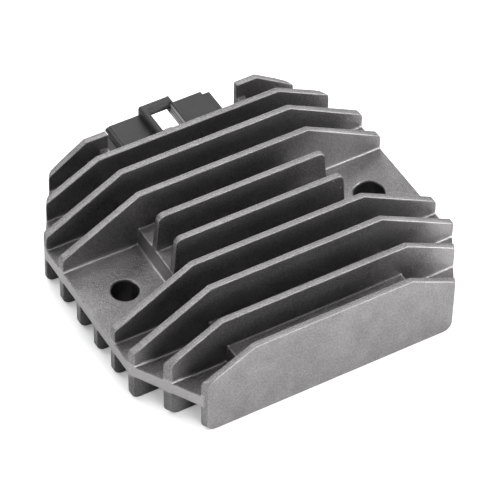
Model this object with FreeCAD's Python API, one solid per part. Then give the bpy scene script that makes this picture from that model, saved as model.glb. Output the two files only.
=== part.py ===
import FreeCAD, Part
import math
import os

# Voltage regulator rectifier, in millimetres.
# X runs along the fins, Y across them, Z up. The origin is on the resting plane, below the middle
# of the casting. The plug socket faces +Y.

# Fins
fin_pitch = 9.25
fin_tip = 1.7
fin_draft = 1.0
root_radius = 0.5
tall_height = 29.2
shoulder_height = 26.8
edge_height = 24.6
tall_end_height = 16.6
shoulder_end_height = 18.7
edge_end_height = 17.4
tall_level_half = 25.0
shoulder_level_half = 26.9
front_level_half = 22.65
back_level_half = 25.7
end_round = 2.2
tip_round = 2.6
end_steepness = 0.15

# Base plate
half_length = 47.6
chamfer_slope = 0.6
plate_under = 8.6
plate_thickness = 3.6

# Raised roof of the potted chamber, with the two short fins that stand on it
platform_rise = 5.3
platform_half = 25.4
wall_draft = 6.0
platform_foot_round = 0.6
short_fin_lean = 4.5
short_fin_round = 2.0

# Hood over the socket's root
hood_rise = 2.4
hood_inset = 3.5
bay_left = 19.35
bay_right = 19.45

# Chamber below the roof
roof_thickness = 2.8
front_wall = 2.3
side_wall = 2.6
back_wall = 2.5
back_wall_inset = 3.125
chamber_corner = 2.5
fill_recess = 1.0

# Mounting holes
hole_spacing = 72.8
left_hole = 7.0
right_hole = 8.2
hole_edge = 0.35
boss_wall = 3.6

# Socket shell
shell_half = 13.95
shell_top = 16.8
shell_bottom = 2.0
shell_reach = 12.1
shell_wall = 1.5
shell_floor = 1.0
flange_thickness = 1.6
flange_lip = 1.7
dam_gap = 0.4
fit_clearance = 0.2
rail_width = 2.7
rail_drop = 1.25
rail_thickness = 1.3
rib_width = 1.15
rib_flat = 0.55
rib_drop = 0.15
rib_lean = 0.7
rib_thickness = 0.9
side_step = 0.65
side_step_top = 13.85
loop_left = 5.1
loop_right = 4.2
loop_wall = 1.65
loop_thin_wall = 0.7
loop_height = 2.9
loop_bar = 2.1
loop_bar_thickness = 2.6
loop_round = 0.8
loop_seam = 0.25
loop_seam_rise = 0.65
notch_half = 3.35
notch_length = 9.5

# Terminal blades
blade_columns = 3
blade_pitch = 8.2
blade_width = 6.3
blade_thickness = 0.8
blade_reach = 6.5
blade_point = 0.8
lower_row = 6.0
upper_row = 12.6
tail_width = 2.4
upper_tail_place = 29.5
lower_tail_place = 32.2
tail_below_board = 0.6

# Circuit board and the parts on it
board_z = 2.8
board_thickness = 1.6
board_gap = 1.5
pad_thickness = 0.5
pad_gap = 1.2
pad_margin = 1.0
case_width = 10.2
case_length = 9.2
case_height = 4.4
tab_length = 6.4
tab_thickness = 1.3
lead_pitch = 2.54
lead_width = 0.8
lead_thickness = 0.5
lead_reach = 3.0
lead_height = 1.7
thyristor_place = -23.0
diode_place = 0.0
capacitor_diameter = 8.0
capacitor_height = 8.6
capacitor_edge = 0.6
capacitor_pitch = 3.5
resistor_length = 6.3
resistor_width = 3.2
resistor_height = 0.8
resistor_pitch = 5.0
zener_diameter = 1.9
zener_length = 4.0
wire_width = 0.6
wire_reach = 1.2
transistor_width = 4.6
transistor_depth = 3.6
transistor_height = 4.6
transistor_pitch = 1.27

# Worked out from the sizes above
fin_count = 10
middle = (fin_count + 1) / 2
plate_top = plate_under + plate_thickness
platform_top = plate_top + platform_rise
hood_top = platform_top + hood_rise
chamber_roof = platform_top - roof_thickness
chamber_half = platform_half - side_wall
hood_half = platform_half - hood_inset
pad_half = chamber_half - pad_gap
device_pitch = pad_half - case_width / 2 - pad_margin
outer_face = (middle - 1) * fin_pitch + fin_tip / 2
chamber_front = outer_face - front_wall
back_wall_face = outer_face - fin_tip / 2 - back_wall_inset
chamber_back = back_wall_face - back_wall
shell_mouth = back_wall_face + shell_reach
flange_front = chamber_back - flange_thickness
draft = math.tan(math.radians(fin_draft))
lean = math.tan(math.radians(wall_draft))
bury = 1.0


def point(x, y, z):
    return FreeCAD.Vector(x, y, z)


def box(x0, x1, y0, y1, z0, z1):
    return Part.makeBox(x1 - x0, y1 - y0, z1 - z0, point(x0, y0, z0))


def rounded_face(corners, place):
    # A face whose corners (a, b, radius) are joined by straight edges, each corner rounded.
    starts = []
    ends = []
    middles = []
    count = len(corners)
    for i in range(count):
        a, b, radius = corners[i]
        pa, pb, _ = corners[i - 1]
        na, nb, _ = corners[(i + 1) % count]
        back = math.hypot(pa - a, pb - b)
        ahead = math.hypot(na - a, nb - b)
        back_dir = ((pa - a) / back, (pb - b) / back)
        ahead_dir = ((na - a) / ahead, (nb - b) / ahead)
        turn = math.acos(max(-1, min(1, back_dir[0] * ahead_dir[0] + back_dir[1] * ahead_dir[1])))
        cut = radius / math.tan(turn / 2) if radius else 0
        starts.append((a + back_dir[0] * cut, b + back_dir[1] * cut))
        ends.append((a + ahead_dir[0] * cut, b + ahead_dir[1] * cut))
        half = (back_dir[0] + ahead_dir[0], back_dir[1] + ahead_dir[1])
        size = math.hypot(*half)
        inset = radius / math.sin(turn / 2) - radius if radius else 0
        middles.append((a + half[0] / size * inset, b + half[1] / size * inset))
    edges = []
    for i in range(count):
        if corners[i][2]:
            arc = Part.Arc(place(*starts[i]), place(*middles[i]), place(*ends[i]))
            edges.append(arc.toShape())
        following = starts[(i + 1) % count]
        if math.dist(ends[i], following) > 1e-6:
            edges.append(Part.LineSegment(place(*ends[i]), place(*following)).toShape())
    return Part.Face(Part.Wire(edges))


def side_prism(corners, y0, y1, shift=0.0):
    # A prism from an outline in X and Z, run from y0 to y1, with its far end moved by shift in X.
    face = rounded_face(corners, lambda x, z: point(x, y0, z))
    return face.extrude(point(shift, y1 - y0, 0))


def plan_prism(corners, z0, z1):
    face = rounded_face(corners, lambda x, y: point(x, y, z0))
    return face.extrude(point(0, 0, z1 - z0))


def fin_place(number):
    return (number - middle) * fin_pitch


def row_from_edge(number):
    return min(number - 1, fin_count - number)


def chamfer_start():
    return -fin_place(3)


def plate_half_at(y):
    return half_length - chamfer_slope * max(0, abs(y) - chamfer_start())


def plate_outline():
    corner = plate_half_at(outer_face)
    start = chamfer_start()
    right = [(corner, -outer_face, 0), (half_length, -start, 0), (half_length, start, 0),
             (corner, outer_face, 0)]
    left = [(-x, y, 0) for x, y, _ in reversed(right)]
    return right + left


def fin_section(y, tip, foot, flat_side=0):
    # The section of one fin across its length: drafted sides that flare into the surface it
    # stands on. flat_side names the side, -1 or 1, of an outside fin that stays flat.
    up = 1 if tip > foot else -1
    tip_half = fin_tip / 2
    neck_half = tip_half + (abs(tip - foot) - root_radius) * draft
    edges = []

    def line(a, b):
        edges.append(Part.LineSegment(point(0, *a), point(0, *b)).toShape())

    ends = []
    for side in (-1, 1):
        top = (y + side * tip_half, tip)
        if side == flat_side:
            buried = (y + side * tip_half, foot - up * bury)
            line(top, buried)
        else:
            neck = (y + side * neck_half, foot + up * root_radius)
            toe = (y + side * (neck_half + root_radius), foot)
            buried = (toe[0], foot - up * bury)
            bend = root_radius * (1 - math.sqrt(0.5))
            halfway = (neck[0] + side * bend, foot + up * bend)
            line(top, neck)
            edges.append(Part.Arc(point(0, *neck), point(0, *halfway), point(0, *toe)).toShape())
            line(toe, buried)
        ends.append((top, buried))
    line(ends[0][0], ends[1][0])
    line(ends[0][1], ends[1][1])
    return Part.Face(Part.Wire(Part.__sortEdges__(edges)))


def fin_blank(y, tip, foot, half, flat_side=0):
    face = fin_section(y, tip, foot, flat_side)
    face.translate(point(-half, 0, 0))
    return face.extrude(point(2 * half, 0, 0))


def fin_sizes(number):
    row = row_from_edge(number)
    if row == 0:
        level = front_level_half if number == 1 else back_level_half
        return edge_height, edge_end_height, level
    if row == 1:
        return shoulder_height, shoulder_end_height, shoulder_level_half
    return tall_height, tall_end_height, tall_level_half


def slope_outline(side, length, level, height, end_height):
    # One half of a fin's side view, level in the middle, its slope carried on past the end.
    fall = (height - end_height) / (length - level)
    beyond = length + 2 * fin_tip
    low = end_height - 2 * fin_tip * fall
    return [(-side * bury, 0, 0), (side * beyond, 0, 0), (side * beyond, low, 0),
            (side * level, height, 0), (-side * bury, height, 0)]


def end_outline(side, length, level, height, end_height):
    # The same half closed by the rounded end. It clears the slope except close to the end.
    rise = height - end_height + end_steepness * (length - level)
    return [(-side * bury, 0, 0), (side * length, 0, tip_round), (side * length, end_height, end_round),
            (side * level, end_height + rise, 0), (-side * bury, end_height + rise, 0)]


def fin_silhouette(number):
    # The side view of a long fin: level in the middle, sloping to its ends. The ends of the
    # outside fins follow the plate's cut corners.
    y = fin_place(number)
    height, end_height, level = fin_sizes(number)
    reach = fin_tip + 2 * root_radius
    near = abs(y) - reach
    sheared = row_from_edge(number) < 2
    length = plate_half_at(near) if sheared else half_length
    shift = -chamfer_slope * 2 * reach if sheared else 0
    outward = 1 if y > 0 else -1
    slopes = []
    ends = []
    for side in (-1, 1):
        slope = slope_outline(side, plate_half_at(y), level, height, end_height)
        slopes.append(side_prism(slope, y - reach, y + reach))
        end = end_outline(side, length, level, height, end_height)
        ends.append(side_prism(end, outward * near, outward * (near + 2 * reach), side * shift))
    silhouette = slopes[0].fuse(slopes[1]).common(ends[0].fuse(ends[1]))
    if row_from_edge(number) == 2:
        silhouette = silhouette.common(plan_prism(plate_outline(), 0, height))
    return silhouette


def is_short(number):
    return row_from_edge(number) == fin_count / 2 - 1


def short_silhouette(number):
    # The two middle fins stand only on the raised roof, with upright, slightly leaning ends.
    y = fin_place(number)
    foot_half = platform_half
    top_half = foot_half - (tall_height - platform_top) * math.tan(math.radians(short_fin_lean))
    corners = [(-foot_half, platform_top - bury, 0), (-foot_half, platform_top, 0),
               (-top_half, tall_height, short_fin_round), (top_half, tall_height, short_fin_round),
               (foot_half, platform_top, 0), (foot_half, platform_top - bury, 0)]
    return side_prism(corners, y - fin_pitch / 2, y + fin_pitch / 2)


def flat_side_of(number):
    if number == 1:
        return -1
    if number == fin_count:
        return 1
    return 0


def fins():
    pieces = []
    for number in range(1, fin_count + 1):
        y = fin_place(number)
        flat = flat_side_of(number)
        height = fin_sizes(number)[0]
        below = fin_blank(y, 0, plate_under, half_length, flat)
        raised = fin_blank(y, height, platform_top, platform_half, flat)
        outline = fin_silhouette(number)
        pieces.append(below.common(outline))
        if is_short(number):
            pieces.append(raised.common(short_silhouette(number)))
        else:
            above = fin_blank(y, height, plate_top, half_length, flat)
            pieces.append(above.common(outline))
            pieces.append(raised.common(outline))
    return pieces


def raised_block(half, base, top, y0, y1):
    # A block with leaning end walls and a filleted foot.
    foot = half + (top - base) * lean
    skirt = foot + 2 * platform_foot_round
    corners = [(-skirt, base - bury, 0), (-skirt, base, 0), (-foot, base, platform_foot_round),
               (-half, top, 0), (half, top, 0), (foot, base, platform_foot_round),
               (skirt, base, 0), (skirt, base - bury, 0)]
    return side_prism(corners, y0, y1)


def rim_block():
    foot = platform_half + platform_rise * lean
    front = -fin_place(fin_count)
    return box(-foot, foot, front, back_wall_face, 0, plate_top)


def hole_places():
    return [(-hole_spacing / 2, left_hole), (hole_spacing / 2, right_hole)]


def bosses():
    pieces = []
    for x, bore in hole_places():
        radius = bore / 2 + boss_wall
        cone = Part.makeCone(radius, radius + plate_under * draft, plate_under + bury, point(x, 0, 0))
        pieces.append(cone)
    return pieces


def hole_cutters():
    pieces = []
    for x, bore in hole_places():
        radius = bore / 2
        pieces.append(Part.makeCylinder(radius, plate_top + 2 * bury, point(x, 0, -bury)))
        pieces.append(Part.makeCone(radius, radius + 2 * hole_edge, 2 * hole_edge,
                                    point(x, 0, plate_top - hole_edge)))
    return pieces


def chamber_space(floor):
    # The potted space: the chamber itself and the taller pocket under the hood for the flange.
    front = -chamber_front
    corners = [(-chamber_half, front, chamber_corner), (chamber_half, front, chamber_corner),
               (chamber_half, chamber_back, chamber_corner), (-chamber_half, chamber_back, chamber_corner)]
    main = plan_prism(corners, floor, chamber_roof)
    half = shell_half + flange_lip + fit_clearance
    pocket = box(-half, half, flange_front - fit_clearance, chamber_back,
                 floor, shell_top + fit_clearance)
    return main.fuse(pocket).removeSplitter()


def neck_slot():
    half = shell_half + fit_clearance
    return box(-half, half, chamber_back - bury, back_wall_face + bury, -bury,
               shell_top + fit_clearance)


def heat_sink_housing():
    plate = plan_prism(plate_outline(), plate_under, plate_top)
    back_row = fin_place(fin_count)
    platform = raised_block(platform_half, plate_top, platform_top, -back_row, back_row)
    hood = raised_block(hood_half, platform_top, hood_top, fin_place(fin_count - 1), back_row)
    solid = plate.multiFuse([rim_block(), platform, hood] + fins() + bosses())
    bay = box(-bay_left, bay_right, back_wall_face, outer_face + bury, -bury, tall_height + bury)
    solid = solid.cut([chamber_space(-bury), neck_slot(), bay] + hole_cutters())
    return solid.removeSplitter()


def socket_shell():
    # The plug socket: a shrouded mouth with a latch bridge on top, a neck that passes the back
    # wall, and a flange inside the chamber.
    body = box(-shell_half, shell_half, back_wall_face - bury, shell_mouth, shell_bottom, shell_top)
    neck = box(-shell_half, shell_half, chamber_back - bury, back_wall_face, dam_gap, shell_top)
    flange = box(-shell_half - flange_lip, shell_half + flange_lip, flange_front, chamber_back,
                 dam_gap, shell_top)
    rail_top = shell_top - rail_drop
    rail = box(shell_half - bury, shell_half + rail_width, back_wall_face, shell_mouth,
               rail_top - rail_thickness, rail_top)
    rib_top = shell_top - rib_drop
    outside = -shell_half - rib_width
    section = [(-shell_half + bury, rib_top - rib_thickness, 0), (-shell_half + bury, rib_top, 0),
               (-shell_half - rib_flat, rib_top, 0), (outside, rib_top - rib_lean, 0),
               (outside, rib_top - rib_thickness, 0)]
    rib = side_prism(section, back_wall_face, shell_mouth)
    step = box(-shell_half - side_step, -shell_half + bury, back_wall_face, shell_mouth,
               shell_bottom, side_step_top)
    solid = body.multiFuse([neck, flange, rail, rib, step, latch_bridge()])
    inner = shell_half - shell_wall
    mouth = box(-inner, inner, back_wall_face + shell_floor, shell_mouth + bury,
                shell_bottom + shell_wall, shell_top - shell_wall)
    notch = box(-notch_half, notch_half, shell_mouth - notch_length, shell_mouth + bury,
                shell_top - shell_wall - bury, shell_top)
    solid = solid.cut([mouth, notch] + [blade_shape(*place) for place in blade_places()])
    return solid.removeSplitter()


def latch_bridge():
    # A bridge over the latch's way, thicker on one side, with a fine mould line in its thin wall.
    top = shell_top + loop_height
    start = back_wall_face + fit_clearance
    foot = shell_top - shell_wall / 2
    corners = [(-loop_left, foot, 0), (-loop_left, top, loop_round), (loop_right, top, loop_round / 2),
               (loop_right, foot, 0)]
    outer = side_prism(corners, start, shell_mouth)
    left = -loop_left + loop_wall
    right = loop_right - loop_thin_wall
    channel = box(left, right, start - bury, shell_mouth - loop_bar, shell_top, top + bury)
    under_bar = box(left, right, start, shell_mouth + bury, shell_top, top - loop_bar_thickness)
    seam_low = shell_top + loop_seam_rise
    seam = box(right - bury, right + loop_seam, start - bury, shell_mouth - loop_bar, seam_low,
               seam_low + loop_seam)
    return outer.cut([channel, under_bar, seam])


def blade_places():
    places = []
    for z, tail_y in ((upper_row, upper_tail_place), (lower_row, lower_tail_place)):
        for column in range(blade_columns):
            places.append(((column - (blade_columns - 1) / 2) * blade_pitch, z, tail_y))
    return places


def blade_shape(x, z, tail_y):
    # A flat blade with a pointed tip in the socket and a narrow tail down through the board.
    tip = back_wall_face + shell_floor + blade_reach
    half = blade_width / 2
    corners = [(x - half, tail_y, 0), (x + half, tail_y, 0), (x + half, tip - blade_point, 0),
               (x + half - blade_point, tip, 0), (x - half + blade_point, tip, 0),
               (x - half, tip - blade_point, 0)]
    flat = plan_prism(corners, z - blade_thickness / 2, z + blade_thickness / 2)
    tail = box(x - tail_width / 2, x + tail_width / 2, tail_y, tail_y + blade_thickness,
               board_z - tail_below_board, z)
    return flat.fuse(tail).removeSplitter()


def board_blank():
    half = chamber_half - board_gap
    return box(-half, half, -chamber_front + board_gap, flange_front - board_gap / 2,
               board_z, board_z + board_thickness)


def seat_height():
    return chamber_roof - pad_thickness


def lead(x, y, z):
    # A flat lead that leaves a case towards +Y, then turns down through the board.
    half = lead_width / 2
    out = box(x - half, x + half, y - bury, y + lead_reach, z - lead_thickness / 2, z + lead_thickness / 2)
    down = box(x - half, x + half, y + lead_reach - lead_thickness, y + lead_reach,
               board_z - tail_below_board, z + lead_thickness / 2)
    return out.fuse(down)


def power_device(x, y, leads):
    # A flat power case whose metal tab lies against the roof's insulating pad.
    seat = seat_height()
    half = case_width / 2
    case = box(x - half, x + half, y - case_length / 2, y + case_length / 2, seat - case_height, seat)
    tab = box(x - half, x + half, y - case_length / 2 - tab_length, y - case_length / 2,
              seat - tab_thickness, seat)
    pieces = [tab]
    for i in range(leads):
        offset = (i - (leads - 1) / 2) * lead_pitch * (2 if leads == 2 else 1)
        pieces.append(lead(x + offset, y + case_length / 2, seat - case_height + lead_height))
    return case.multiFuse(pieces).removeSplitter()


def insulating_pad():
    front = thyristor_place - case_length / 2 - tab_length - board_gap
    back = diode_place + case_length / 2 + board_gap
    return box(-pad_half, pad_half, front, back, seat_height(), chamber_roof)


def wire_down(x, y, top):
    half = wire_width / 2
    return box(x - half, x + half, y - half, y + half, board_z - tail_below_board, top)


def capacitor(x, y):
    radius = capacitor_diameter / 2
    floor = board_z + board_thickness
    top = floor + capacitor_height
    can = Part.makeCylinder(radius, capacitor_height - capacitor_edge, point(x, y, floor))
    shoulder = Part.makeCone(radius, radius - capacitor_edge, capacitor_edge,
                             point(x, y, top - capacitor_edge))
    wires = [wire_down(x + side * capacitor_pitch / 2, y, floor + bury) for side in (-1, 1)]
    return can.multiFuse([shoulder] + wires)


def axial_part(x, y, diameter, length):
    # A small round part that lies along X above the board, on a wire bent down at both ends.
    z = board_z + board_thickness + diameter / 2
    body = Part.makeCylinder(diameter / 2, length, point(x - length / 2, y, z), point(1, 0, 0))
    half = wire_width / 2
    outside = length / 2 + wire_reach
    inside = outside - wire_width
    foot = board_z - tail_below_board
    corners = [(x - outside, foot, 0), (x - inside, foot, 0), (x - inside, z - half, 0),
               (x + inside, z - half, 0), (x + inside, foot, 0), (x + outside, foot, 0),
               (x + outside, z + half, 0), (x - outside, z + half, 0)]
    return body.fuse(side_prism(corners, y - half, y + half))


def gate_resistor(x, y):
    floor = board_z + board_thickness
    return box(x - resistor_length / 2, x + resistor_length / 2, y - resistor_width / 2,
               y + resistor_width / 2, floor, floor + resistor_height)


def control_transistor(x, y):
    # A small round case with one flat side, on three legs.
    floor = board_z + board_thickness + transistor_depth / 2
    radius = transistor_width / 2
    round_part = Part.makeCylinder(radius, transistor_height, point(x, y, floor))
    keep = box(x - radius, x + radius, y - radius, y - radius + transistor_depth, floor,
               floor + transistor_height)
    case = round_part.common(keep)
    wires = [wire_down(x + i * transistor_pitch, y, floor + bury) for i in (-1, 0, 1)]
    return case.multiFuse(wires)


def inner_parts():
    parts = {}
    for i, place in enumerate(blade_places()):
        parts["terminal_blade_%d" % (i + 1)] = blade_shape(*place)
    for i in range(3):
        x = (i - 1) * device_pitch
        parts["thyristor_%d" % (i + 1)] = power_device(x, thyristor_place, 3)
        parts["power_diode_%d" % (i + 1)] = power_device(x, diode_place, 2)
    free_row = (diode_place + case_length / 2 + lead_reach + upper_tail_place) / 2
    for i in range(3):
        parts["gate_resistor_%d" % (i + 1)] = gate_resistor(0, free_row + (i - 1) * resistor_pitch)
    parts["capacitor"] = capacitor(device_pitch, free_row)
    parts["control_transistor"] = control_transistor(-device_pitch, free_row - resistor_length / 2)
    parts["zener_diode"] = axial_part(-device_pitch, free_row + resistor_length / 2, zener_diameter,
                                      zener_length)
    holes = list(parts.values())
    parts["insulating_pad"] = insulating_pad()
    parts["circuit_board"] = board_blank().cut(holes)
    return parts


def potting_compound(shell, inner):
    # Resin that fills the chamber around everything in it, a little short of the rim.
    space = chamber_space(fill_recess)
    return space.cut([shell] + list(inner.values()))


def build():
    shell = socket_shell()
    inner = inner_parts()
    parts = {"heat_sink_housing": heat_sink_housing(), "connector_shell": shell}
    parts.update(inner)
    parts["potting_compound"] = potting_compound(shell, inner)
    return parts


os.makedirs("parts", exist_ok=True)
for name, shape in build().items():
    shape.exportStep(os.path.join("parts", name + ".step"))
    print("%-22s solids %d  valid %s  volume %.1f" % (name, len(shape.Solids), shape.isValid(), shape.Volume))
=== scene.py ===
import bmesh
import bpy
import math
from mathutils import Matrix, Vector
from mathutils.bvhtree import BVHTree


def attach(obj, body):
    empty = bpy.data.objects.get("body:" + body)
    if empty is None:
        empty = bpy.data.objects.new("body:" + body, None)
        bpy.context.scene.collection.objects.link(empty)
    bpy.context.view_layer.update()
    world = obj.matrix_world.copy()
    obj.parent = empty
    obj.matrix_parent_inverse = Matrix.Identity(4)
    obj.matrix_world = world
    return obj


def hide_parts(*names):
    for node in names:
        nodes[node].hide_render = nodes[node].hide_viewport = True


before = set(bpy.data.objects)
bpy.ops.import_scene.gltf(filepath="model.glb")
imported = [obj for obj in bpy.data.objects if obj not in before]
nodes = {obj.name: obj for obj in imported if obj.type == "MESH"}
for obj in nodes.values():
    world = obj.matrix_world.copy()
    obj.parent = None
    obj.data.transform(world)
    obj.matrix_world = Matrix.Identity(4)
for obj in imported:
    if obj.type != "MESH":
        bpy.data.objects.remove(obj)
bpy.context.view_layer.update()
print("frame loaded:", len(nodes), "nodes")

mm = 0.001


# Helpers for pieces

joining = {
    "weld": 0.002 * mm,
    "flatAngle": math.radians(0.6),
}

rounding = {
    "segments": 2,
    "outsideAngle": math.radians(30),
    "shortestEdge": 0.05 * mm,
    "plainReach": 0.1 * mm,
    "thrownOff": 0.6,
    "smoothAngle": math.radians(38),
    "flatWeight": 80,
}


def clearSelection():
    if bpy.context.object and bpy.context.object.mode != "OBJECT":
        bpy.ops.object.mode_set(mode="OBJECT")
    bpy.ops.object.select_all(action="DESELECT")


def pickOnly(piece):
    clearSelection()
    piece.select_set(True)
    bpy.context.view_layer.objects.active = piece


def mergedCopy(nodeName, pieceName, convex=False):
    # a copy of a part's mesh with its loose triangles joined into clean faces
    piece = bpy.data.objects.new(pieceName, nodes[nodeName].data.copy())
    bpy.context.scene.collection.objects.link(piece)
    piece.data.materials.clear()
    pickOnly(piece)
    bpy.ops.mesh.customdata_custom_splitnormals_clear()
    bpy.ops.object.mode_set(mode="EDIT")
    bpy.ops.mesh.select_all(action="SELECT")
    bpy.ops.mesh.remove_doubles(threshold=joining["weld"])
    bpy.ops.mesh.dissolve_limited(angle_limit=joining["flatAngle"])
    if convex:
        bpy.ops.mesh.vert_connect_concave()
    bpy.ops.mesh.select_all(action="DESELECT")
    bpy.ops.object.mode_set(mode="OBJECT")
    return piece


def liesOn(edge, across, high):
    # True for an edge that runs along Y at this distance from the middle and at this height
    reach = rounding["plainReach"]
    return all(abs(abs(vertex.co.x) - across) < reach and abs(vertex.co.z - high) < reach for vertex in edge.verts)


def markOutsideEdges(shape, plainEdge):
    # gives a bevel weight to the edges that stick out, and leaves inside corners and slivers alone
    layers = shape.edges.layers.float
    weight = layers.get("bevel_weight_edge") or layers.new("bevel_weight_edge")
    for edge in shape.edges:
        if len(edge.link_faces) != 2 or edge.calc_length() < rounding["shortestEdge"]:
            continue
        if plainEdge and liesOn(edge, *plainEdge):
            continue
        if edge.calc_face_angle_signed(0.0) > rounding["outsideAngle"]:
            edge[weight] = 1.0


def softenEdges(piece, width, edgeSlot=-1, plainEdge=None):
    # rounds the outside edges, and brings back any corner that a rounding throws off the piece's own surface
    pickOnly(piece)
    shape = bmesh.new()
    shape.from_mesh(piece.data)
    surface = BVHTree.FromBMesh(shape)
    markOutsideEdges(shape, plainEdge)
    shape.to_mesh(piece.data)
    shape.free()
    bevel = piece.modifiers.new("edges", "BEVEL")
    bevel.width = width
    bevel.segments = rounding["segments"]
    bevel.limit_method = "WEIGHT"
    bevel.use_clamp_overlap = False
    bevel.miter_outer = "MITER_ARC"
    bevel.material = edgeSlot
    bpy.ops.object.modifier_apply(modifier=bevel.name)
    for vertex in piece.data.vertices:
        nearest, normal, face, away = surface.find_nearest(vertex.co)
        if away > rounding["thrownOff"] * width:
            vertex.co = nearest
    bpy.ops.object.shade_smooth_by_angle(angle=rounding["smoothAngle"])
    weighted = piece.modifiers.new("flats", "WEIGHTED_NORMAL")
    weighted.keep_sharp = True
    weighted.weight = rounding["flatWeight"]
    bpy.ops.object.modifier_apply(modifier=weighted.name)


def standFor(piece, nodeName, slot, *materials):
    for material in materials:
        piece.data.materials.append(material)
    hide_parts(nodeName)
    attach(piece, "root")


# Helpers for materials

def addNode(tree, kind, **values):
    made = tree.nodes.new(kind)
    for name, value in values.items():
        setattr(made, name, value)
    return made


def feed(tree, socket, value):
    if isinstance(value, bpy.types.NodeSocket):
        tree.links.new(value, socket)
    else:
        socket.default_value = value


def startMaterial(name):
    material = bpy.data.materials.new(name)
    material.use_nodes = True
    tree = material.node_tree
    return material, tree, tree.nodes["Principled BSDF"], addNode(tree, "ShaderNodeTexCoord").outputs


def axesOf(tree, vector):
    node = addNode(tree, "ShaderNodeSeparateXYZ")
    tree.links.new(vector, node.inputs[0])
    return node.outputs


def noiseAt(tree, place, perMm, detail=2.0, roughness=0.5):
    noise = addNode(tree, "ShaderNodeTexNoise")
    noise.inputs["Scale"].default_value = perMm / mm
    noise.inputs["Detail"].default_value = detail
    noise.inputs["Roughness"].default_value = roughness
    tree.links.new(place, noise.inputs["Vector"])
    return noise.outputs["Fac"]


def mapRange(tree, value, start, end, toStart=0.0, toEnd=1.0):
    # the result stays at its end values outside the range, and start may be the higher of the two
    node = addNode(tree, "ShaderNodeMapRange")
    for name, number in zip(("From Min", "From Max", "To Min", "To Max"), (start, end, toStart, toEnd)):
        node.inputs[name].default_value = number
    tree.links.new(value, node.inputs["Value"])
    return node.outputs["Result"]


def mathNode(tree, operation, first, second=0.0):
    node = addNode(tree, "ShaderNodeMath", operation=operation)
    feed(tree, node.inputs[0], first)
    feed(tree, node.inputs[1], second)
    return node.outputs["Value"]


def vectorNode(tree, operation, first, second=(0.0, 0.0, 0.0)):
    node = addNode(tree, "ShaderNodeVectorMath", operation=operation)
    feed(tree, node.inputs[0], first)
    feed(tree, node.inputs[1], second)
    return node.outputs["Value" if operation in ("LENGTH", "DISTANCE") else "Vector"]


def product(tree, first, *others):
    for other in others:
        first = mathNode(tree, "MULTIPLY", first, other)
    return first


def largest(tree, first, *others):
    for other in others:
        first = mathNode(tree, "MAXIMUM", first, other)
    return first


# The Mix node's colour sockets share their names with its other kinds, so they go by number

mixSockets = {"factor": 0, "first": 6, "second": 7, "result": 2}


def mixColour(tree, factor, first, second, blend="MIX"):
    node = addNode(tree, "ShaderNodeMix", data_type="RGBA", blend_type=blend)
    for name, value in (("factor", factor), ("first", first), ("second", second)):
        feed(tree, node.inputs[mixSockets[name]], value)
    return node.outputs[mixSockets["result"]]


def bumpFrom(tree, height, distance, normal=None):
    node = addNode(tree, "ShaderNodeBump")
    node.inputs["Strength"].default_value = 1.0
    node.inputs["Distance"].default_value = distance
    tree.links.new(height, node.inputs["Height"])
    if normal:
        tree.links.new(normal, node.inputs["Normal"])
    return node.outputs["Normal"]


def grey(value):
    return (value, value, value, 1.0)


# The pitted skin that a sand mould or a shot blast leaves, with specks that carry painted glints. Each noise has its
# scale per mm, detail and roughness

sandShape = {
    "fine": (2.6, 3.0, 0.65),
    "coarse": (0.7, 3.0, 0.6),
    "patches": (0.11, 3.0, 0.55),
    "coarseHeight": 1.3,
    "dotsPerMm": 2.2,
    "dotEdges": (0.16, 0.06),
}


def buildSandGrain():
    tree = bpy.data.node_groups.new("sandGrain", "ShaderNodeTree")
    tree.interface.new_socket("Place", in_out="INPUT", socket_type="NodeSocketVector")
    for name in ("Grain", "Patches", "Sparkle", "Height"):
        tree.interface.new_socket(name, in_out="OUTPUT", socket_type="NodeSocketFloat")
    place = addNode(tree, "NodeGroupInput").outputs["Place"]
    end = addNode(tree, "NodeGroupOutput")
    fine, coarse, patches = (noiseAt(tree, place, *sandShape[name]) for name in ("fine", "coarse", "patches"))
    dots = addNode(tree, "ShaderNodeTexVoronoi", feature="F1")
    dots.inputs["Scale"].default_value = sandShape["dotsPerMm"] / mm
    tree.links.new(place, dots.inputs["Vector"])
    sparkle = mapRange(tree, dots.outputs["Distance"], *sandShape["dotEdges"])
    height = mathNode(tree, "ADD", fine, product(tree, coarse, sandShape["coarseHeight"]))
    for name, value in (("Grain", fine), ("Patches", patches), ("Sparkle", sparkle), ("Height", height)):
        tree.links.new(value, end.inputs[name])
    return tree


def useGroup(tree, group, place):
    node = addNode(tree, "ShaderNodeGroup")
    node.node_tree = group
    tree.links.new(place, node.inputs["Place"])
    return node.outputs


sandGrain = buildSandGrain()


# The casting

casting = {
    "edgeWidth": 0.2 * mm,
    "softness": 0.5 * mm,
    "softSamples": 6,
    "bump": 0.08 * mm,
    "plateTop": 12.2 * mm,
    "plateFoot": 8.6 * mm,
    "frontFace": -42.3 * mm,
    "roofArris": (25.4 * mm, 17.5 * mm),
    "finPitch": 9.25 * mm,
    "pitchesAdded": 10.0,
    "holes": ((-36.4 * mm, 3.5 * mm), (36.4 * mm, 4.1 * mm)),
    "tint": (1.0, 0.976, 0.985, 1.0),
}

# The second finish is a lighter copy of the first for the rounded edges: a painted highlight
castingFinishes = {
    "castAluminium": {"dark": grey(0.15), "light": grey(0.32), "roughness": (0.48, 0.36)},
    "castArrisHighlight": {"dark": grey(0.18), "light": grey(0.36), "roughness": (0.46, 0.34)},
}

# How each effect mixes into the skin: its strength, its tone and where it starts and ends

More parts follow.
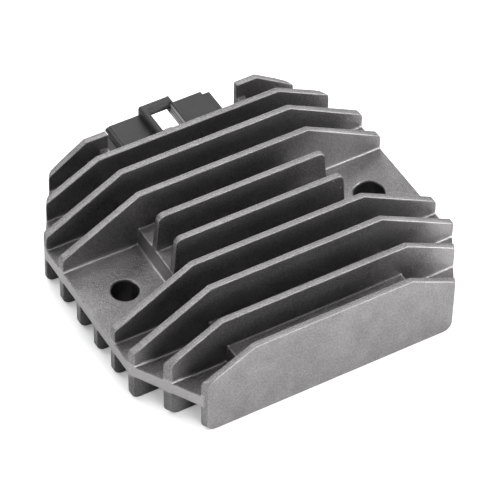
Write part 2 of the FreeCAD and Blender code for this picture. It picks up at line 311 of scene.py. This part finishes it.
castingLook = {
    "grain": {"range": (0.36, 0.64), "share": 0.7, "roughRange": (0.2, 0.8)},
    "patches": {"range": (0.3, 0.7), "share": 0.3},
    "sparkle": {"strength": 0.75, "tone": grey(0.6)},
    "paintedLightPools": {"tone": grey(0.6)},
    "dark": {"tone": grey(0.04)},
    "toneEdges": (1.1, 0.5),
    "shade": {"strength": 0.3, "tone": grey(0.02), "depth": 1.0 * mm, "fromFront": (1.2 * mm, 1.8 * mm)},
    "sanding": {"strength": 0.8, "dark": grey(0.22), "light": grey(0.43), "edges": (0.05 * mm, -0.1 * mm),
                "stretch": (1.0, 1.0, 0.75), "range": (0.35, 0.65), "fine": (2.0, 3.0, 0.7), "fineShare": 0.65,
                "cloud": (0.22, 3.0, 0.6), "cloudShare": 0.35},
    "crest": {"facing": (0.7, 0.95), "height": (17.8 * mm, 18.3 * mm), "dulling": 0.16, "bump": 1.6},
    "worn": {"range": (0.42, 0.6), "strength": 0.1, "tone": grey(0.5)},
    "crestPaintedHighlight": {"edges": (0.38, 0.53), "strength": 0.26, "tone": grey(0.6)},
    "crestPaintedShade": {"edges": (0.5, 0.62), "strength": 0.22, "tone": grey(0.03)},
    "fromFaces": (0.6 * mm, 1.2 * mm),
    "fillet": {"facing": (0.995, 0.9), "foot": (0.0, 0.05 * mm), "head": (1.1 * mm, 0.5 * mm), "strength": 0.65,
               "tone": grey(0.5)},
    "roof": {"across": (0.4 * mm, 0.2 * mm), "high": (0.45 * mm, 0.25 * mm), "arris": 0.7,
             "footStart": (-0.1 * mm, 0.0), "footEnd": (1.2 * mm, 0.7 * mm), "footHigh": (1.1 * mm, 0.7 * mm),
             "foot": 0.6, "abovePlate": (-0.2 * mm, -0.1 * mm)},
    "rim": {"facing": (0.25, 0.1), "head": (0.05 * mm, -0.1 * mm), "foot": (-0.1 * mm, 0.1 * mm), "strength": 0.45,
            "tone": grey(0.55)},
    "bore": {"edge": (0.4 * mm, 0.1 * mm), "deep": (0.05 * mm, -0.6 * mm), "top": 0.6, "tone": grey(0.18)},
}

# Small flaws, with painted highlights on the burrs and painted shade in the pits: the middle and the radius of each
# in mm

castingFlaws = {
    "burrHighlights": (((-29.1, -33.2, 27.3), 0.5), ((-29.8, -33.2, 27.0), 0.35), ((-47.6, 11.0, 12.3), 0.3),
              ((-47.6, 8.8, 12.4), 0.35), ((23.8, -5.4, 25.0), 0.35), ((21.4, -5.4, 28.4), 0.3),
              ((-19.4, 41.8, 22.5), 0.35), ((37.5, 0.1, 12.2), 0.35), ((39.4, -1.6, 12.2), 0.4),
              ((-36.5, -42.3, 4.8), 0.3), ((19.4, 39.9, 20.2), 0.3)),
    "pitShade": (((-45.9, 13.0, 17.9), 0.25), ((-47.6, 1.7, 12.0), 0.35), ((-43.9, -28.0, 11.5), 0.3),
             ((-40.0, -34.7, 11.5), 0.3), ((-37.7, -38.3, 11.5), 0.25), ((-43.1, -18.7, 12.0), 0.3),
             ((-32.1, -24.0, 26.1), 0.25), ((-47.6, -22.9, 4.9), 0.4), ((47.8, -4.5, 12.2), 0.5),
             ((-36.5, -42.2, 14.8), 0.3), ((-36.5, -42.2, 13.0), 0.25), ((-33.2, -42.5, 20.2), 0.3),
             ((-34.2, -42.5, 19.6), 0.25)),
}

flawLook = {
    "burrHighlights": {"strength": 0.9, "tone": grey(0.75)},
    "pitShade": {"strength": 0.75, "tone": grey(0.02)},
    "noise": (3.0, 2.0),
    "noiseRange": (0.3, 0.7),
    "ragged": 0.14 * mm,
    "core": 0.5,
}

# Painted light makes the skin paler in some places, and the skin is darker in others: middle and reach of each in mm,
# then its strength

castingTones = {
    "paintedLightPools": (((-36.0, 11.0, 12.2), (10.0, 6.0, 1.5), 0.42), ((-24.5, 5.0, 15.5), (5.5, 9.0, 4.5), 0.5),
             ((31.0, 12.5, 18.5), (13.5, 2.2, 11.0), 0.36), ((12.0, 21.7, 19.0), (10.0, 2.0, 8.0), 0.12),
             ((42.0, -24.5, 19.0), (8.0, 2.0, 8.0), 0.25), ((26.0, -33.8, 23.0), (10.0, 2.0, 6.0), 0.15),
             ((33.0, -15.3, 19.0), (9.0, 2.0, 9.0), 0.15), ((41.0, -33.8, 18.0), (11.0, 2.0, 10.0), 0.24),
             ((30.0, -24.5, 25.0), (14.0, 2.0, 5.0), 0.2), ((-21.5, 9.0, 17.5), (6.5, 3.2, 1.6), 0.5),
             ((-39.0, -32.4, 3.5), (3.5, 3.0, 5.5), 0.3), ((-33.5, -41.6, 9.0), (2.5, 1.6, 14.0), 0.15)),
    "dark": (((46.0, 1.0, 12.2), (10.0, 10.0, 1.5), 0.3), ((-45.5, -6.7, 12.2), (7.0, 5.0, 1.5), 0.2)),
}


def shifted(base, edges):
    return tuple(base + edge for edge in edges)


def flawMask(tree, place, kind):
    # small ragged spots, each at its own place on the casting: painted highlights on burrs, painted shade in pits
    ragged = mapRange(tree, noiseAt(tree, place, *flawLook["noise"]), *flawLook["noiseRange"],
                      -flawLook["ragged"], flawLook["ragged"])
    spots = []
    for middle, radius in castingFlaws[kind]:
        away = vectorNode(tree, "DISTANCE", place, Vector(middle) * mm)
        reach = mathNode(tree, "ADD", away, ragged)
        spots.append(mapRange(tree, reach, radius * mm, radius * flawLook["core"] * mm, 0.0,
                              flawLook[kind]["strength"]))
    return largest(tree, *spots)


def toneMask(tree, place, kind):
    # soft areas, each an ellipsoid; the pale ones are painted light
    areas = []
    for middle, reach, strength in castingTones[kind]:
        away = vectorNode(tree, "SUBTRACT", place, Vector(middle) * mm)
        share = vectorNode(tree, "LENGTH", vectorNode(tree, "DIVIDE", away, Vector(reach) * mm))
        areas.append(mapRange(tree, share, *castingLook["toneEdges"], 0.0, strength))
    return largest(tree, *areas)


def roofArrisHighlightMask(tree, spot):
    # painted highlights on the roof's two end arrises and in the hollows at their feet
    look = castingLook["roof"]
    half, top = casting["roofArris"]
    out = mathNode(tree, "SUBTRACT", mathNode(tree, "ABSOLUTE", spot["X"]), half)
    offTop = mathNode(tree, "ABSOLUTE", mathNode(tree, "SUBTRACT", spot["Z"], top))
    arris = product(tree, mapRange(tree, mathNode(tree, "ABSOLUTE", out), *look["across"], 0.0, look["arris"]),
                    mapRange(tree, offTop, *look["high"]))
    foot = product(tree, mapRange(tree, out, *look["footStart"], 0.0, look["foot"]),
                   mapRange(tree, out, *look["footEnd"]),
                   mapRange(tree, spot["Z"], *shifted(casting["plateTop"], look["footHigh"])))
    above = mapRange(tree, spot["Z"], *shifted(casting["plateTop"], look["abovePlate"]))
    return product(tree, largest(tree, arris, foot), above)


def boreMask(tree, spot):
    # painted shade on the mounting holes' walls, weaker at the top than further down
    look = castingLook["bore"]
    holes = []
    for across, radius in casting["holes"]:
        flat = addNode(tree, "ShaderNodeCombineXYZ")
        tree.links.new(mathNode(tree, "SUBTRACT", spot["X"], across), flat.inputs["X"])
        tree.links.new(spot["Y"], flat.inputs["Y"])
        away = vectorNode(tree, "LENGTH", flat.outputs["Vector"])
        holes.append(mapRange(tree, away, *shifted(radius, look["edge"])))
    deep = mapRange(tree, spot["Z"], *shifted(casting["plateTop"], look["deep"]), look["top"], 1.0)
    return product(tree, largest(tree, *holes), deep)


def castSkin(tree, place, skin, finish):
    grain, patches, sparkle = (castingLook[name] for name in ("grain", "patches", "sparkle"))
    tone = mathNode(tree, "ADD", mapRange(tree, skin["Grain"], *grain["range"], 0.0, grain["share"]),
                    mapRange(tree, skin["Patches"], *patches["range"], 0.0, patches["share"]))
    colour = mixColour(tree, tone, finish["dark"], finish["light"])
    # the sparkle specks are painted glints
    colour = mixColour(tree, product(tree, skin["Sparkle"], sparkle["strength"]), colour, sparkle["tone"])
    # the pale areas are painted light
    for kind in ("paintedLightPools", "dark"):
        colour = mixColour(tree, toneMask(tree, place, kind), colour, castingLook[kind]["tone"])
    return colour


def shadeBelow(tree, spot, colour):
    look = castingLook["shade"]
    foot = casting["plateFoot"]
    mask = product(tree, mapRange(tree, spot["Z"], foot, foot - look["depth"], 0.0, look["strength"]),
                   mapRange(tree, spot["Y"], *shifted(casting["frontFace"], look["fromFront"])))
    return mixColour(tree, mask, colour, look["tone"])


def sandFront(tree, place, spot, colour):
    look = castingLook["sanding"]
    stretched = vectorNode(tree, "MULTIPLY", place, look["stretch"])
    fine, cloud = (mapRange(tree, noiseAt(tree, stretched, *look[name]), *look["range"], 0.0, look[name + "Share"])
                   for name in ("fine", "cloud"))
    sanded = mixColour(tree, mathNode(tree, "ADD", fine, cloud), look["dark"], look["light"])
    front = mapRange(tree, spot["Y"], *shifted(casting["frontFace"], look["edges"]))
    return mixColour(tree, product(tree, front, look["strength"]), colour, sanded)


def wearAndPaintCrestLight(tree, spot, skin, crest, colour):
    # the fins' tops get a lighter worn grain, a painted highlight along the side toward the front and painted shade
    # along the other
    worn, near, far = (castingLook[name] for name in ("worn", "crestPaintedHighlight", "crestPaintedShade"))
    grain = mapRange(tree, skin["Grain"], *worn["range"], 0.0, worn["strength"])
    colour = mixColour(tree, product(tree, crest, grain), colour, worn["tone"])
    # counted in fin pitches, with enough whole ones added to stay above zero
    pitches = mathNode(tree, "ADD", mathNode(tree, "DIVIDE", spot["Y"], casting["finPitch"]), casting["pitchesAdded"])
    across = mathNode(tree, "FRACT", pitches)
    paintedHighlightMask = product(tree, crest, mapRange(tree, across, *near["edges"], near["strength"], 0.0))
    paintedShadeMask = product(tree, crest, mapRange(tree, across, *far["edges"], 0.0, far["strength"]))
    colour = mixColour(tree, paintedHighlightMask, colour, near["tone"])
    return mixColour(tree, paintedShadeMask, colour, far["tone"])


def paintCornerHighlights(tree, spot, facing, colour):
    # the hollows along the plate's top, the roof's arrises and the plate's rim get painted highlights
    fillet, rim = castingLook["fillet"], castingLook["rim"]
    top = casting["plateTop"]
    within = mapRange(tree, mathNode(tree, "ABSOLUTE", spot["Y"]),
                      *(-casting["frontFace"] - edge for edge in castingLook["fromFaces"]))
    feet = product(tree, mapRange(tree, facing["Z"], *fillet["facing"]),
                   mapRange(tree, spot["Z"], *shifted(top, fillet["foot"])),
                   mapRange(tree, spot["Z"], *shifted(top, fillet["head"])), fillet["strength"])
    hollows = product(tree, largest(tree, feet, roofArrisHighlightMask(tree, spot)), within)
    colour = mixColour(tree, hollows, colour, fillet["tone"])
    edge = product(tree, mapRange(tree, facing["Z"], *rim["facing"]),
                   mapRange(tree, spot["Z"], *shifted(top, rim["head"])),
                   mapRange(tree, spot["Z"], *shifted(casting["plateFoot"], rim["foot"])), rim["strength"], within)
    return mixColour(tree, edge, colour, rim["tone"])


def castAluminium(name):
    finish = castingFinishes[name]
    crestLook = castingLook["crest"]
    material, tree, shader, where = startMaterial(name)
    place = where["Object"]
    spot = axesOf(tree, place)
    facing = axesOf(tree, where["Normal"])
    skin = useGroup(tree, sandGrain, place)
    level = mapRange(tree, facing["Z"], *crestLook["facing"])
    crest = product(tree, level, mapRange(tree, spot["Z"], *crestLook["height"]))
    colour = castSkin(tree, place, skin, finish)
    colour = shadeBelow(tree, spot, colour)
    colour = sandFront(tree, place, spot, colour)
    colour = wearAndPaintCrestLight(tree, spot, skin, crest, colour)
    colour = paintCornerHighlights(tree, spot, facing, colour)
    # the burrs get painted highlights and the pits painted shade
    for kind in ("burrHighlights", "pitShade"):
        colour = mixColour(tree, flawMask(tree, place, kind), colour, flawLook[kind]["tone"])
    colour = mixColour(tree, boreMask(tree, spot), colour, castingLook["bore"]["tone"])
    colour = mixColour(tree, 1.0, colour, casting["tint"], "MULTIPLY")
    tree.links.new(colour, shader.inputs["Base Color"])
    grainRough = mapRange(tree, skin["Grain"], *castingLook["grain"]["roughRange"], *finish["roughness"])
    rough = mathNode(tree, "ADD", grainRough, product(tree, crest, crestLook["dulling"]))
    tree.links.new(rough, shader.inputs["Roughness"])
    shader.inputs["Metallic"].default_value = 1.0
    height = product(tree, skin["Height"], mapRange(tree, level, 0.0, 1.0, 1.0, crestLook["bump"]))
    soft = addNode(tree, "ShaderNodeBevel", samples=casting["softSamples"])
    soft.inputs["Radius"].default_value = casting["softness"]
    tree.links.new(bumpFrom(tree, height, casting["bump"], soft.outputs["Normal"]), shader.inputs["Normal"])
    return material


housing = mergedCopy("heat_sink_housing", "housingCasting")
for name in castingFinishes:
    housing.data.materials.append(castAluminium(name))
softenEdges(housing, casting["edgeWidth"], 1, casting["roofArris"])
standFor(housing, "heat_sink_housing", "cast_aluminium")
print("casting ready:", len(housing.data.polygons), "faces")


# The plug socket

socketShape = {
    "edgeWidth": 0.16 * mm,
    "barFace": 48.7 * mm,
    "barFoot": 17.0 * mm,
    "barStep": 17.55 * mm,
    "notchLeft": 2.0 * mm,
    "notchRight": 3.52 * mm,
    "notchBack": 48.1 * mm,
    "notchTop": 19.3 * mm,
}

# The second finish is a lighter copy of the first for the rounded edges: a painted highlight
socketFinishes = {
    "socketPlastic": {"dark": (0.0175, 0.0175, 0.018, 1.0), "light": (0.0255, 0.0255, 0.026, 1.0),
                      "roughness": (0.6, 0.48)},
    "socketArrisHighlight": {"dark": (0.055, 0.056, 0.058, 1.0), "light": (0.075, 0.076, 0.078, 1.0),
                    "roughness": (0.5, 0.4)},
}

socketLook = {
    "grainPerMm": 3.5,
    "cloudPerMm": 0.25,
    "noiseRange": (0.3, 0.7),
    "specular": 0.42,
    "bump": 0.012 * mm,
    "toward": (-0.6, -0.9),
    "edge": 0.1 * mm,
    "fineEdge": 0.05 * mm,
    "grooveDepth": 0.3 * mm,
    "barStart": (-0.5 * mm, -0.3 * mm),
    "topFade": 0.5 * mm,
    "barPaintedLight": grey(0.2),
    "notchPaintedLight": grey(0.5),
    "groovePaintedShade": grey(0.002),
}


def barFrontLightMask(tree, spot, toward):
    # the bar's front face, above its step, lightened with painted light
    step = socketShape["barStep"]
    return product(tree, mapRange(tree, toward["Y"], *socketLook["toward"]),
                   mapRange(tree, spot["Y"], *shifted(socketShape["barFace"], socketLook["barStart"])),
                   mapRange(tree, spot["Z"], step, step + socketLook["edge"]))


def notchSideLightMask(tree, spot, toward):
    # the notch's side that faces left, lightened with painted light
    left, right, back, top = (socketShape["notch" + side] for side in ("Left", "Right", "Back", "Top"))
    edge = socketLook["edge"]
    return product(tree, mapRange(tree, toward["X"], *socketLook["toward"]),
                   mapRange(tree, spot["X"], left, left + edge), mapRange(tree, spot["X"], right + edge, right),
                   mapRange(tree, spot["Y"], back + edge, back),
                   mapRange(tree, spot["Z"], top, top - socketLook["topFade"]))


def grooveShadeMask(tree, spot):
    # painted shade in the mould line's groove at the bar's foot
    foot, step, face = (socketShape["bar" + part] for part in ("Foot", "Step", "Face"))
    fine = socketLook["fineEdge"]
    start = face - socketLook["grooveDepth"]
    return product(tree, mapRange(tree, spot["Z"], step, step - socketLook["edge"]),
                   mapRange(tree, spot["Z"], foot, foot + fine), mapRange(tree, spot["Y"], start, start + fine),
                   mapRange(tree, spot["Y"], face, face - fine))


def mouldedPlastic(name):
    finish = socketFinishes[name]
    noiseRange = socketLook["noiseRange"]
    material, tree, shader, where = startMaterial(name)
    spot = axesOf(tree, where["Object"])
    toward = axesOf(tree, where["Normal"])
    grain = noiseAt(tree, where["Object"], socketLook["grainPerMm"])
    cloud = noiseAt(tree, where["Object"], socketLook["cloudPerMm"])
    colour = mixColour(tree, mapRange(tree, cloud, *noiseRange), finish["dark"], finish["light"])
    colour = mixColour(tree, barFrontLightMask(tree, spot, toward), colour, socketLook["barPaintedLight"])
    colour = mixColour(tree, notchSideLightMask(tree, spot, toward), colour, socketLook["notchPaintedLight"])
    colour = mixColour(tree, grooveShadeMask(tree, spot), colour, socketLook["groovePaintedShade"])
    tree.links.new(colour, shader.inputs["Base Color"])
    tree.links.new(mapRange(tree, grain, *noiseRange, *finish["roughness"]), shader.inputs["Roughness"])
    shader.inputs["Specular IOR Level"].default_value = socketLook["specular"]
    tree.links.new(bumpFrom(tree, grain, socketLook["bump"]), shader.inputs["Normal"])
    return material


socket = mergedCopy("connector_shell", "socketMoulding", convex=True)
softenEdges(socket, socketShape["edgeWidth"], 1)
standFor(socket, "connector_shell", "socket_plastic", *(mouldedPlastic(name) for name in socketFinishes))
print("socket ready:", len(socket.data.polygons), "faces")


# The terminal blades

blades = {
    "count": 6,
    "edgeWidth": 0.12 * mm,
    "noise": (0.8, 3.0),
    "tones": ((0.62, 0.60, 0.56, 1.0), (0.72, 0.71, 0.69, 1.0)),
    "toneRange": (0.35, 0.7),
    "roughRange": (0.3, 0.7),
    "roughness": (0.22, 0.38),
}


def tinnedBrass():
    material, tree, shader, where = startMaterial("tinnedBrass")
    haze = noiseAt(tree, where["Object"], *blades["noise"])
    colour = mixColour(tree, mapRange(tree, haze, *blades["toneRange"]), *blades["tones"])
    tree.links.new(colour, shader.inputs["Base Color"])
    tree.links.new(mapRange(tree, haze, *blades["roughRange"], *blades["roughness"]), shader.inputs["Roughness"])
    shader.inputs["Metallic"].default_value = 1.0
    return material


bladeMetal = tinnedBrass()
for number in range(1, blades["count"] + 1):
    name = "terminal_blade_%d" % number
    blade = mergedCopy(name, "terminalBlade%d" % number)
    softenEdges(blade, blades["edgeWidth"])
    standFor(blade, name, "blade_metal", bladeMetal)
print("blades ready")


# The potting

potting = {
    "noise": (0.12, 2.0),
    "noiseRange": (0.3, 0.7),
    "tones": ((0.012, 0.012, 0.013, 1.0), (0.022, 0.022, 0.023, 1.0)),
    "roughness": (0.2, 0.32),
    "bump": 0.25 * mm,
}


def pouredResin():
    material, tree, shader, where = startMaterial("pouredResin")
    swirl = noiseAt(tree, where["Object"], *potting["noise"])
    colour = mixColour(tree, mapRange(tree, swirl, *potting["noiseRange"]), *potting["tones"])
    tree.links.new(colour, shader.inputs["Base Color"])
    tree.links.new(mapRange(tree, swirl, *potting["noiseRange"], *potting["roughness"]), shader.inputs["Roughness"])
    tree.links.new(bumpFrom(tree, swirl, potting["bump"]), shader.inputs["Normal"])
    return material


def dressNode(name, material):
    nodes[name].data.materials.clear()
    nodes[name].data.materials.append(material)


dressNode("potting_compound", pouredResin())


# The sealed parts. Each finish has its dark and light tone and its roughness

sealed = {
    "noise": (1.2, 3.0),
    "noiseRange": (0.3, 0.7),
    "roughSpread": 0.06,
    "bump": 0.01 * mm,
    "ofEachKind": 3,
}

sealedFinishes = {
    "boardLaminate": ((0.02, 0.16, 0.06, 1.0), (0.03, 0.22, 0.09, 1.0), 0.35),
    "thermalPad": (grey(0.5), grey(0.58), 0.8),
    "capacitorSleeve": ((0.02, 0.025, 0.08, 1.0), (0.03, 0.035, 0.11, 1.0), 0.35),
    "zenerBody": ((0.35, 0.1, 0.03, 1.0), (0.42, 0.14, 0.05, 1.0), 0.3),
    "mouldedCase": (grey(0.02), grey(0.035), 0.55),
    "resistorBody": (grey(0.06), grey(0.1), 0.5),
}


def plainFinish(name):
    dark, light, roughness = sealedFinishes[name]
    material, tree, shader, where = startMaterial(name)
    cloud = noiseAt(tree, where["Object"], *sealed["noise"])
    colour = mixColour(tree, mapRange(tree, cloud, *sealed["noiseRange"]), dark, light)
    tree.links.new(colour, shader.inputs["Base Color"])
    rough = mapRange(tree, cloud, *sealed["noiseRange"], roughness - sealed["roughSpread"],
                     roughness + sealed["roughSpread"])
    tree.links.new(rough, shader.inputs["Roughness"])
    tree.links.new(bumpFrom(tree, cloud, sealed["bump"]), shader.inputs["Normal"])
    return material


finishes = {name: plainFinish(name) for name in sealedFinishes}
dressNode("circuit_board", finishes["boardLaminate"])
dressNode("insulating_pad", finishes["thermalPad"])
dressNode("capacitor", finishes["capacitorSleeve"])
dressNode("zener_diode", finishes["zenerBody"])
dressNode("control_transistor", finishes["mouldedCase"])
for number in range(1, sealed["ofEachKind"] + 1):
    dressNode("thyristor_%d" % number, finishes["mouldedCase"])
    dressNode("power_diode_%d" % number, finishes["mouldedCase"])
    dressNode("gate_resistor_%d" % number, finishes["resistorBody"])
print("sealed parts finished")


# Floor and sky

studio = {
    "floorSize": 3.0,
    "floorTone": grey(0.9),
    "floorRoughness": 0.9,
    "floorSpecular": 0.1,
    "floorSeen": 0.53,
    "contactReach": 8 * mm,
    "contactSamples": 8,
    "skyTone": grey(1.0),
    "skyLight": 0.03,
    "skySeen": 1.0,
}


def seenDirectly(tree):
    path = addNode(tree, "ShaderNodeLightPath").outputs
    return largest(tree, path["Is Camera Ray"], path["Is Transmission Ray"])


def paperFloor():
    # plain paper, brighter where the camera sees it, but less so close to the part
    material, tree, shader, where = startMaterial("paperFloor")
    shader.inputs["Base Color"].default_value = studio["floorTone"]
    shader.inputs["Roughness"].default_value = studio["floorRoughness"]
    shader.inputs["Specular IOR Level"].default_value = studio["floorSpecular"]
    contact = addNode(tree, "ShaderNodeAmbientOcclusion", samples=studio["contactSamples"])
    contact.inputs["Distance"].default_value = studio["contactReach"]
    glow = addNode(tree, "ShaderNodeEmission")
    tree.links.new(product(tree, seenDirectly(tree), studio["floorSeen"], contact.outputs["AO"]),
                   glow.inputs["Strength"])
    both = addNode(tree, "ShaderNodeAddShader")
    tree.links.new(shader.outputs[0], both.inputs[0])
    tree.links.new(glow.outputs[0], both.inputs[1])
    tree.links.new(both.outputs[0], tree.nodes["Material Output"].inputs["Surface"])
    return material


def buildSky():
    world = bpy.data.worlds.new("studio")
    bpy.context.scene.world = world
    world.use_nodes = True
    tree = world.node_tree
    background = tree.nodes["Background"]
    background.inputs["Color"].default_value = studio["skyTone"]
    strength = mapRange(tree, seenDirectly(tree), 0.0, 1.0, studio["skyLight"], studio["skySeen"])
    tree.links.new(strength, background.inputs["Strength"])


clearSelection()
bpy.ops.mesh.primitive_plane_add(size=studio["floorSize"], location=(0, 0, 0))
floor = bpy.context.object
floor.name = "floor"
floor.data.materials.append(paperFloor())
buildSky()


# The lamps: the way to each from the part, and its power

lamps = {
    "keyRight": ((0.744, -0.574, 0.342), 9.3),
    "keyFront": ((0.0, -0.940, 0.342), 7.4),
    "backLeft": ((-0.454, 0.454, 0.766), 3.7),
    "sideLeft": ((-0.940, 0.0, 0.342), 2.7),
    "overhead": ((0.174, 0.0, 0.985), 1.9),
    "backRim": ((0.227, 0.912, 0.342), 4.6),
    "backSoft": ((0.251, 0.592, 0.766), 2.3),
    "rightRim": ((0.797, 0.498, 0.342), 1.5),
}

lampShape = {"size": 0.5, "distance": 1.0}

for name, (way, power) in lamps.items():
    light = bpy.data.lights.new(name, "AREA")
    light.size = lampShape["size"]
    light.energy = power
    holder = bpy.data.objects.new(name, light)
    bpy.context.scene.collection.objects.link(holder)
    away = Vector(way).normalized()
    holder.location = away * lampShape["distance"]
    holder.rotation_euler = away.to_track_quat("Z", "Y").to_euler()


# The camera: its angles in degrees, its eye, lens and sensor in mm, and its clipping range in m

shot = {
    "azimuth": -31.065,
    "elevation": 46.340,
    "roll": 1.60,
    "eye": (-301.317, -500.852, 621.145),
    "lens": 235.0,
    "sensor": 36.0,
    "clip": (0.01, 20.0),
}


def placeCamera():
    turn, rise, roll = (math.radians(shot[key]) for key in ("azimuth", "elevation", "roll"))
    back = Vector((math.sin(turn) * math.cos(rise), -math.cos(turn) * math.cos(rise), math.sin(rise)))
    right = Vector((math.cos(turn), math.sin(turn), 0))
    up = back.cross(right)
    rolledRight = right * math.cos(roll) + up * math.sin(roll)
    rolledUp = up * math.cos(roll) - right * math.sin(roll)
    data = bpy.data.cameras.new("photoCamera")
    data.lens = shot["lens"]
    data.sensor_width = shot["sensor"]
    data.clip_start, data.clip_end = shot["clip"]
    camera = bpy.data.objects.new("photoCamera", data)
    bpy.context.scene.collection.objects.link(camera)
    pose = Matrix((rolledRight, rolledUp, back)).transposed().to_4x4()
    pose.translation = Vector(shot["eye"]) * mm
    camera.matrix_world = pose
    bpy.context.scene.camera = camera


placeCamera()
bpy.context.scene.view_settings.view_transform = "Standard"
print("stage and camera ready")
